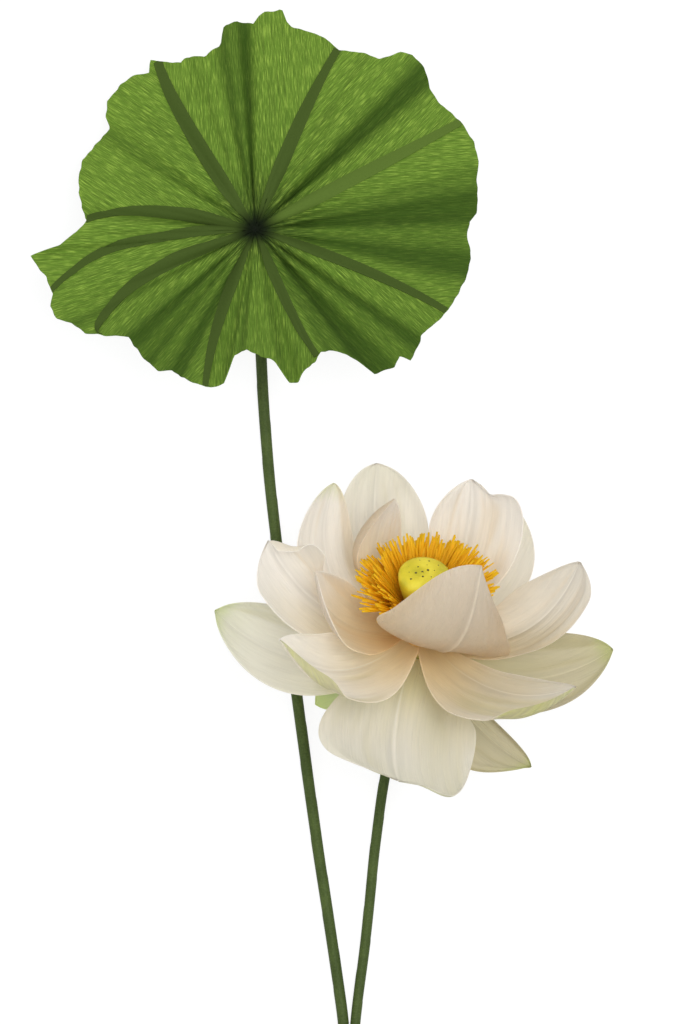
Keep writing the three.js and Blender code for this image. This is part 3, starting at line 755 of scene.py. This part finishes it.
def fringe_piece(node, foot, band_top, bend, tip, count):
    bm = bmesh.new()
    along = bm.verts.layers.float.new("along")
    across = bm.verts.layers.float.new("across")
    for i in range(count):
        turn = 2 * math.pi * (i + 0.6 * chance(i, 1)) / count
        length = 1 + 0.34 * (chance(i, 2) - 0.5)
        length = length - 0.3 * max(-math.sin(turn), 0) + 0.14 * max(math.cos(turn), 0)
        twist = 1.6 * (chance(i, 3) - 0.5)
        drift = 0.22 * (chance(i, 4) - 0.5)
        lift = 7 * (chance(i, 5) - 0.5)
        tone = chance(i, 6)
        if STRAY_FROM < turn < STRAY_TO and chance(i, 7) < 0.2:
            length, lift = length + 0.22, lift - 7
        end = Vector((mix(foot, tip[0], length), mix(band_top, tip[1], length) + lift))
        knee = Vector((bend[0], bend[1] + lift * 0.3))
        ribbon = bmesh.ops.create_grid(bm, x_segments=1, y_segments=9, size=1.0)["verts"]
        for vert in ribbon:
            x, t = vert.co.x, (vert.co.y + 1) / 2
            start = Vector((foot, band_top))
            spot = start * (1 - t) ** 2 + knee * 2 * t * (1 - t) + end * t * t
            wide = 0.55 + 0.3 * smooth(t, 0.72, 0.8) * (1 - smooth(t, 0.94, 1.0))
            spin = twist * t
            angle = turn + drift * t * t + x * wide * math.cos(spin) / max(spot.x, 1)
            vert.co = heart_spot(spot.x, angle, spot.y + x * wide * math.sin(spin)) * MM
            vert[along] = t
            vert[across] = tone
    shade_smooth(bm)
    mesh = finished_mesh(bm, node + "_ribbons", [STAMEN])
    give_thickness(add_piece(node + "_ribbons", mesh, node), STAMEN_PAPER)
    rim = foot + COLLAR_PAPER
    band = [(foot, POD_FOOT), (rim, POD_FOOT), (rim, band_top), (foot, band_top), (foot, POD_FOOT)]
    add_piece(node + "_collar", spun(node + "_collar", band, 48, STAMEN))


for fringe in FRINGES:
    fringe_piece(*fringe)
print("ribbons", [fringe[-1] for fringe in FRINGES])

# %% [markdown]
# ## Leaf
#
# The leaf is nine gores of crepe, glued edge to edge under smooth olive strips that read as veins. It
# sinks to a pit over the stem, rises to a ragged rim, and is pleated from the hub outwards. The height
# is a formula of angle and radius, and the rim is a list of radii that follows the cut edge.

# %% The leaf's shape
HUB = Vector((-98 + SPRAY_X, 245 + SPRAY_Y, 23.223))
HOLE = 0.05
# The cut edge, as angle round the hub and radius in units of RIM_UNIT
RIM = [(2, 215), (4, 223), (8, 225), (13, 228), (17, 234), (22, 236), (26, 234), (31, 228), (34, 224),
       (39, 226), (44, 236), (48, 237), (51, 230), (52, 222), (54, 212), (59, 208), (65, 199),
       (70, 206), (79.7, 208), (81.5, 213), (83.1, 223), (87.4, 220), (89.4, 215), (90.2, 208),
       (95, 211), (98.6, 208), (100.5, 190), (106, 182), (112, 187), (114, 184), (118, 191),
       (121.7, 200), (124, 191), (129, 198), (133, 199), (139, 196), (143, 187), (145, 177), (150, 180),
       (154, 181), (158, 186), (164, 183), (168, 180), (173, 174), (177, 168), (181, 177), (185, 196),
       (187, 225), (193, 214), (198, 211), (201, 218), (204.6, 217), (207.5, 206), (212, 198),
       (214, 189), (216, 184), (218, 174), (221, 166), (225, 168), (231, 170), (236, 172), (240, 165),
       (245, 165), (251, 166), (255, 165), (259, 158), (261, 129), (266, 121), (274, 129), (279, 135),
       (281.5, 150), (283, 160), (286, 160), (289, 151), (294, 147), (298, 140), (302.6, 145),
       (306, 155), (308, 169), (309.5, 188), (315, 197), (318.8, 193), (319.6, 204), (324, 201),
       (327, 198), (330, 201), (334, 206), (338, 210), (343, 214), (347.5, 217), (352, 218), (358, 213)]
RIM_UNIT = 0.6
# Veins: angle at the hub, turn on the way to the rim, width
VEINS = [(125, -5, 9.4), (166, 11, 7), (181, 16, 6.4), (199, 15, 7.8), (247, 6, 6.2), (292, 4, 5.8),
         (340.5, -4, 6.2), (27, 0.5, 7.4), (68.5, -3, 7.8)]
# Pleats: angle, spread in degrees, depth
PLEATS = [(93, 2.4, 7), (100, 4, 6), (42.5, 4.6, 9), (58, 3.4, 3), (6, 4.6, 10), (15, 3, 3),
          (350, 6, 7.5), (325, 4, 6), (311, 4.6, 9), (301, 3, 4), (264, 4, 5), (242, 4, 8), (223, 4.6, 8),
          (232, 3, 4), (208, 3, 5), (174, 4, 4), (147, 5, 5), (134, 4, 3), (110, 3, 3)]
PIT_DEPTH = 9
LEAF_PAPER = 0.6
VEIN_PAPER = 0.5
VEIN_LIFT = 0.75


def rim_radius(angle):
    turn = angle % 360
    after = next((i for i, (at, _) in enumerate(RIM) if at > turn), len(RIM))
    low = RIM[after - 1] if after else (RIM[-1][0] - 360, RIM[-1][1])
    high = RIM[after] if after < len(RIM) else (RIM[0][0] + 360, RIM[0][1])
    ragged = noise.noise(Vector((turn * 0.45, 3.3, 0.0)))
    return RIM_UNIT * (mix(low[1], high[1], (turn - low[0]) / (high[0] - low[0])) + 1.6 * ragged)


def turn_between(a, b):
    return (a - b + 540) % 360 - 180


def pleat_depth(angle, radius):
    """Depth in millimetres of the sharp valleys that run out from the hub."""
    valleys = [deep * math.exp(0.3 - math.hypot(turn_between(angle, at) / wide, 0.3))
               for at, wide, deep in PLEATS]
    return sum(valleys) * smooth(radius, HOLE, 34)


def leaf_height(angle, radius):
    reach = radius / rim_radius(angle)
    height = (30 - 48 * math.sin(math.radians(angle))) * reach ** 1.2 + 1.5
    height -= PIT_DEPTH * math.exp(-(radius / 13) ** 2) + pleat_depth(angle, radius)
    turn = math.radians(angle)
    ripple = noise.noise(Vector((math.cos(turn) * 5, math.sin(turn) * 5, radius / 160)))
    ripple += 0.6 * noise.noise(Vector((math.cos(turn) * 11, math.sin(turn) * 11, radius / 120 + 7)))
    return height + ripple * 3.0 * smooth(radius, HOLE, 40)


def leaf_spot(angle, share):
    radius = mix(HOLE, rim_radius(angle), share)
    turn = math.radians(angle)
    spot = HUB + Vector((radius * math.cos(turn), radius * math.sin(turn), leaf_height(angle, radius)))
    spot.z = max(spot.z, LOWEST)
    return spot


def vein_angle(vein, share):
    return vein[0] + vein[1] * share * share


print("leaf rim", len(RIM), "veins", len(VEINS))

# %% Gores
# The upper face is painted almost black at the hub, a painted shade for the pit; its flecks are a painted
# highlight on the crests and its deep colour is painted shade in the pleats
LEAF_TOP = crepe("leaf crepe, upper face",
                 [(0.0, "0a1204"), (0.05, "16220a"), (0.12, "425a1a"), (0.3, "608127"), (1.0, "6a8c2c")],
                 0.34, 0.4, 1.0, fleck=("a6c250", 0.58), deep=("36520e", 0.85), thin=0.3,
                 glow=("8fb03a", 0.3), stretch=26)
LEAF_UNDER = crepe("leaf crepe, under face",
                   [(0.0, "55703a"), (0.5, "6f8c48"), (1.0, "7a9650")],
                   0.72, 0.5, 0.7, fleck=("a3bb66", 0.5), deep=("5c7a34", 0.5), thin=0.3,
                   glow=("8fb03a", 0.3))


def gore_place(first, second):
    def edges(share):
        start = vein_angle(first, share)
        return start, start + turn_between(vein_angle(second, share), start) % 360

    low, high = edges(0.7)
    middle = math.radians((low + high) / 2)
    lengthwise = Vector((math.cos(middle), math.sin(middle), 0))
    sideways = Vector((math.sin(middle), -math.cos(middle), 0))

    def place(u, row):
        share = row ** LEAF_CROWDING
        start, end = edges(share)
        angle = mix(end, start, u)
        spot = leaf_spot(angle, share)
        away = spot - HUB
        # Painted shade: deep in the pleats' valleys, and growing towards the right and the bottom of the
        # leaf, a painted shade on that side
        dark = smooth(pleat_depth(angle, away.xy.length), 2.0, 8.5)
        dark = min(dark + 0.0008 * max(away.x - away.y * 0.6, 0) + 0.0028 * max(-away.y, 0), 1)
        return spot, (away.dot(sideways) + first[0], away.dot(lengthwise)), share, 2 * u - 1, dark

    return place


for i, vein in enumerate(VEINS):
    place = gore_place(vein, VEINS[(i + 1) % len(VEINS)])
    paper_sheet(f"leaf_panel_{i + 1}", 72, 80, place, LEAF_PAPER, [LEAF_TOP, LEAF_UNDER])
print("gores", len(VEINS))


# %% Veins
def vein_finish(name, code, edge):
    material, ink = new_material(name)
    paper_map = ink.node("UVMap", {"uv_map": "flat paper"}, {})
    fibre = ink.speckle(paper_map, 0.8, 4.0, 0.7)
    across = ink.note("across")
    margin = across.math("ABSOLUTE", across, 0.0).rise(0.6, 1.0)
    dye = ink.node("Mix", {"data_type": "RGBA"}, {0: fibre, 6: paint(code), 7: paint(edge)}, 2)
    dye = dye.blend(margin * 0.4, paint(edge))
    along = ink.note("along")
    # Near the hub the strip is painted almost black, a painted shade for the pit
    dye = dye.blend(1 - along.rise(0.03, 0.14), paint("0c1405"))
    relief = ink.relief(fibre, 0.25)
    body = ink.node("BsdfPrincipled", {}, {"Base Color": dye, "Roughness": 0.8, "Normal": relief,
                                           "Specular IOR Level": 0.12})
    ink.show(body)
    return material


VEIN_DARK = vein_finish("vein paper", "374818", "425420")
VEIN_PALE = vein_finish("vein paper, faded", "4a5f22", "546a28")


def vein_place(vein):
    def place(u, row):
        share = mix(0.02, 1.0, row ** LEAF_CROWDING)
        middle = vein_angle(vein, share)
        radius = mix(HOLE, rim_radius(middle), share)
        wide = mix(1.6, vein[2], smooth(share, -0.05, 0.38))
        wide *= 1 - 0.42 * smooth(share, 0.5, 1.05)
        x = 1 - 2 * u
        angle = middle + x * math.degrees(wide / 2 / radius)
        level = min((radius - HOLE) / (rim_radius(angle) - HOLE), 1.0)
        spot = leaf_spot(angle, level)
        step_out = leaf_spot(angle, level + 0.002) - spot
        step_round = leaf_spot(angle + 0.1, level) - spot
        normal = step_out.cross(step_round).normalized()
        return spot + normal * VEIN_LIFT, (x * wide / 2, share * radius), share, x, 0.0

    return place


FADED_VEIN = 7
for i, vein in enumerate(VEINS):
    finish = VEIN_PALE if i == FADED_VEIN else VEIN_DARK
    paper_sheet(f"leaf_vein_{i + 1}", 8, 90, vein_place(vein), VEIN_PAPER, [finish])
print("vein strips", len(VEINS))

# %% [markdown]
# ## Stems
#
# Each stem is a wire wound with green paper tape. The tape climbs in a long spiral, and every turn
# leaves a low step where it laps over the last one. A grid is bent round the stem's path, and the
# step is in its radius, so it shows in the outline as well as in the light.


# %% The stem's path
def smooth_path(points, spacing):
    """Evenly spaced points on a centripetal curve through the given ones."""
    ends = [points[0] * 2 - points[1]] + points + [points[-1] * 2 - points[-2]]
    dense = []
    for p0, p1, p2, p3 in zip(ends, ends[1:], ends[2:], ends[3:]):
        k0 = 0.0
        k1 = k0 + (p1 - p0).length ** 0.5
        k2 = k1 + (p2 - p1).length ** 0.5
        k3 = k2 + (p3 - p2).length ** 0.5
        for i in range(40):
            k = mix(k1, k2, i / 40)
            a1 = p0 * ((k1 - k) / (k1 - k0)) + p1 * ((k - k0) / (k1 - k0))
            a2 = p1 * ((k2 - k) / (k2 - k1)) + p2 * ((k - k1) / (k2 - k1))
            a3 = p2 * ((k3 - k) / (k3 - k2)) + p3 * ((k - k2) / (k3 - k2))
            b1 = a1 * ((k2 - k) / (k2 - k0)) + a2 * ((k - k0) / (k2 - k0))
            b2 = a2 * ((k3 - k) / (k3 - k1)) + a3 * ((k - k1) / (k3 - k1))
            dense.append(b1 * ((k2 - k) / (k2 - k1)) + b2 * ((k - k1) / (k2 - k1)))
    dense.append(points[-1])
    walked = [0.0]
    for a, b in zip(dense, dense[1:]):
        walked.append(walked[-1] + (b - a).length)
    count = int(walked[-1] / spacing)
    even, j = [], 0
    for i in range(count + 1):
        want = walked[-1] * i / count
        while j < len(walked) - 2 and walked[j + 1] < want:
            j += 1
        even.append(dense[j].lerp(dense[j + 1], (want - walked[j]) / (walked[j + 1] - walked[j])))
    return even, walked[-1]


# %% Tape finish
def tape_finish(name, ramp):
    material, ink = new_material(name)
    paper_map = ink.node("UVMap", {"uv_map": "flat paper"}, {})
    sides = ink.node("SeparateXYZ", {}, {0: paper_map})
    lengthwise = Wire(sides.tree, sides.socket.node.outputs[1])
    spot = ink.node("CombineXYZ", {}, {0: sides * 0.5 + lengthwise * 0.05, 1: lengthwise * 0.6})
    crinkle = ink.speckle(spot, 1.5, 3.0)
    blotch = ink.speckle(paper_map, 0.06, 3.0)
    stops = [(position, paint(code)) for position, code in ramp]
    dye = ink.node("ValToRGB", {"stops": stops}, {0: crinkle * 0.5 + blotch * 0.5})
    relief = ink.relief(crinkle, 0.2)
    body = ink.node("BsdfPrincipled", {}, {"Base Color": dye, "Roughness": 0.6, "Normal": relief,
                                           "Specular IOR Level": 0.2})
    ink.show(body)
    return material


TAPE = tape_finish("stem tape", [(0.3, "303e15"), (0.5, "3e4d20"), (0.7, "4d5d2a")])
TAPE_LAP = 0.28
BORE = 1.8
BORE_DEPTH = 10.0


def tape_step(turn, walked, pitch):
    """Height of the lapped tape: a quick rise at each turn of the spiral and a slow fall."""
    phase = (walked / pitch + turn / (2 * math.pi)) % 1
    return TAPE_LAP * (smooth(phase, 0.0, 0.06) - phase * 0.6)


def wound_stem(node, points, radius, pitch):
    path, length = smooth_path(points, 1.5)
    last = len(path) - 1
    rows = [(last, BORE, BORE_DEPTH), (last, BORE, 0.0), (last, radius - 0.25, 0.0)]
    rows += [(i, radius, 0.0) for i in range(last, -1, -1)]
    bm = bmesh.new()
    bmesh.ops.create_grid(bm, x_segments=24, y_segments=len(rows) - 1, size=1.0)
    uv = bm.loops.layers.uv.new("flat paper")
    flat = {}
    for vert in bm.verts:
        turn = math.pi * (vert.co.x + 1)
        at, reach, sunk = rows[round((vert.co.y + 1) / 2 * (len(rows) - 1))]
        ahead = (path[min(at + 1, last)] - path[max(at - 1, 0)]).normalized()
        sideways = ahead.cross(Vector((0, 0, 1))).normalized()
        upward = sideways.cross(ahead)
        walked = length * at / last
        if reach == radius:
            reach += tape_step(turn, walked, pitch) - 0.1
        ring = sideways * math.cos(turn) + upward * math.sin(turn)
        vert.co = (path[at] - ahead * sunk + ring * reach) * MM
        flat[vert] = (turn * radius, walked)
    lay_flat(bm, uv, flat)
    bmesh.ops.remove_doubles(bm, verts=bm.verts, dist=1e-6)
    bmesh.ops.holes_fill(bm, edges=bm.edges, sides=0)
    bmesh.ops.recalc_face_normals(bm, faces=bm.faces)
    add_piece(node + "_tape", finished_mesh(bm, node + "_tape", [TAPE]), node)
    return length


# %% Both stems
SPRAY = Vector((SPRAY_X, SPRAY_Y, 0))
BOUND = 0.9
BLOOM_STEM = 3.0
LEAF_STEM = 3.3
MEETING = -41
LANE_GAP = 0.15
TABLE_GAP = 0.2
BLOOM_LANE = MEETING + BLOOM_STEM + LANE_GAP
LEAF_LANE = MEETING - LEAF_STEM - LANE_GAP
LANE_ROWS = [-237, -252, -275, -283]
LEAF_STEM_WAY = [(-93, 142), (-88, 82), (-73, -34), (-61, -122), (-50, -195)]

neck = AXIS * -24.3 + Vector((0, 0, BLOOM_AT.z))
bloom_way = [neck, neck - AXIS * 12, (-14, -60, BLOOM_STEM + 5.2), (-19, -81, BLOOM_STEM + 1.2),
             (-25, -122, BLOOM_STEM + TABLE_GAP), (-31, -180, BLOOM_STEM + TABLE_GAP)]
bloom_way += [(BLOOM_LANE, y, BLOOM_STEM + BOUND) for y in LANE_ROWS]
leaf_way = [(-98, 245, HUB.z - PIT_DEPTH - 0.3 - 0.3 - 0.45 * LEAF_STEM), (-98, 241, LEAF_STEM + 7.2),
            (-96, 205, LEAF_STEM + 1.2)]
leaf_way += [(x, y, LEAF_STEM + TABLE_GAP) for x, y in LEAF_STEM_WAY]
leaf_way += [(LEAF_LANE, y, LEAF_STEM + BOUND) for y in LANE_ROWS]
bloom_way = [Vector(p) + SPRAY for p in bloom_way]
leaf_way = [Vector(p) + SPRAY for p in leaf_way]
print("bloom stem", wound_stem("bloom_stem_wrap", bloom_way, BLOOM_STEM, 38))
print("leaf stem", wound_stem("leaf_stem_wrap", leaf_way, LEAF_STEM, 46))

# %% [markdown]
# ## Binding, core and wire
#
# Below the picture's edge a few turns of the same tape hold both stems together. The band is a grid
# bent round the pair, with a step at each turn. The core that the petals are glued to is spun, and the
# wires keep their CAD shape, because only their ends can be seen, and get a finish of their own.

# %% Binding
BIND_ROWS = 54
BIND_START = -248
BIND_LENGTH = 27
BIND_GIRTH = 36
BIND_PITCH = 6.5


def band_spot(share, clearance, y):
    """A point on the oval round both stems, found by walking its two arcs."""
    angle = 2 * math.pi * share - math.pi / 2
    right = -math.pi / 2 <= angle <= math.pi / 2
    lane, radius = (BLOOM_LANE, BLOOM_STEM) if right else (LEAF_LANE, LEAF_STEM)
    x = lane + (radius + clearance) * math.cos(angle)
    z = radius + BOUND + (radius + clearance) * math.sin(angle)
    return SPRAY + Vector((x, y, z))


bind = bmesh.new()
bmesh.ops.create_grid(bind, x_segments=64, y_segments=BIND_ROWS + 2, size=1.0)
bind_uv = bind.loops.layers.uv.new("flat paper")
bind_flat = {}
for vert in bind.verts:
    share = (vert.co.x + 1) / 2
    row = round((vert.co.y + 1) / 2 * (BIND_ROWS + 2))
    depth = min(max(row - 1, 0), BIND_ROWS) / BIND_ROWS * BIND_LENGTH
    inside = row in (0, BIND_ROWS + 2)
    clearance = 0.3 if inside else 0.62 + tape_step(share * 2 * math.pi, depth, BIND_PITCH)
    bind_flat[vert] = (share * BIND_GIRTH, depth)
    vert.co = band_spot(share, clearance, BIND_START - depth) * MM
lay_flat(bind, bind_uv, bind_flat)
bmesh.ops.remove_doubles(bind, verts=bind.verts, dist=1e-6)
bmesh.ops.recalc_face_normals(bind, faces=bind.faces)
bind_mesh = finished_mesh(bind, "stem_binding_tape", [TAPE])
add_piece("stem_binding_tape", bind_mesh, "stem_binding")
print("binding faces", len(bind_mesh.polygons))


# %% Core and wires
def core_finish():
    material, ink = new_material("wound core paper")
    spot = ink.node("TexCoord", {}, {}, "Object")
    fibre = ink.speckle(spot, 400.0, 4.0)
    stops = [(0.3, paint("d8a85c")), (0.7, paint("e8c488"))]
    dye = ink.node("ValToRGB", {"stops": stops}, {0: fibre})
    moved = ink.node("VectorMath", {"operation": "SUBTRACT"}, {0: spot, 1: BLOOM_AT * MM})
    height = ink.node("VectorMath", {"operation": "DOT_PRODUCT"}, {0: moved, 1: AXIS}, "Value")
    green = 1 - (height + (fibre - 0.5) * 0.006).rise(-0.011, -0.004)
    dye = dye.blend(green, paint("8f9c4a"))
    relief = ink.relief(fibre, 0.2)
    body = ink.node("BsdfPrincipled", {}, {"Base Color": dye, "Roughness": 0.85, "Normal": relief})
    ink.show(body)
    return material


CORE_PROFILE = [(0, -24), (4, -24), (8, -22), (10, -20), (10, -9), (8, -4), (6.2, 1), (6.1, 8), (0, 8)]
core_mesh = spun("receptacle_core", CORE_PROFILE, 48, core_finish())
add_piece("receptacle_core", core_mesh, "receptacle")


def wire_finish():
    material, ink = new_material("drawn steel wire")
    spot = ink.node("TexCoord", {}, {}, "Object")
    scratch = ink.speckle(spot, 1500.0, 2.0)
    body = ink.node("BsdfPrincipled", {}, {"Base Color": paint("9a9c9d"), "Metallic": 1.0,
                                           "Roughness": scratch * 0.3 + 0.25})
    ink.show(body)
    return material


WIRE = wire_finish()
for name in ("bloom_stem_wire", "leaf_stem_wire"):
    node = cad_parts[name]
    node.data.materials.clear()
    node.data.materials.append(WIRE)
print("finished CAD nodes")
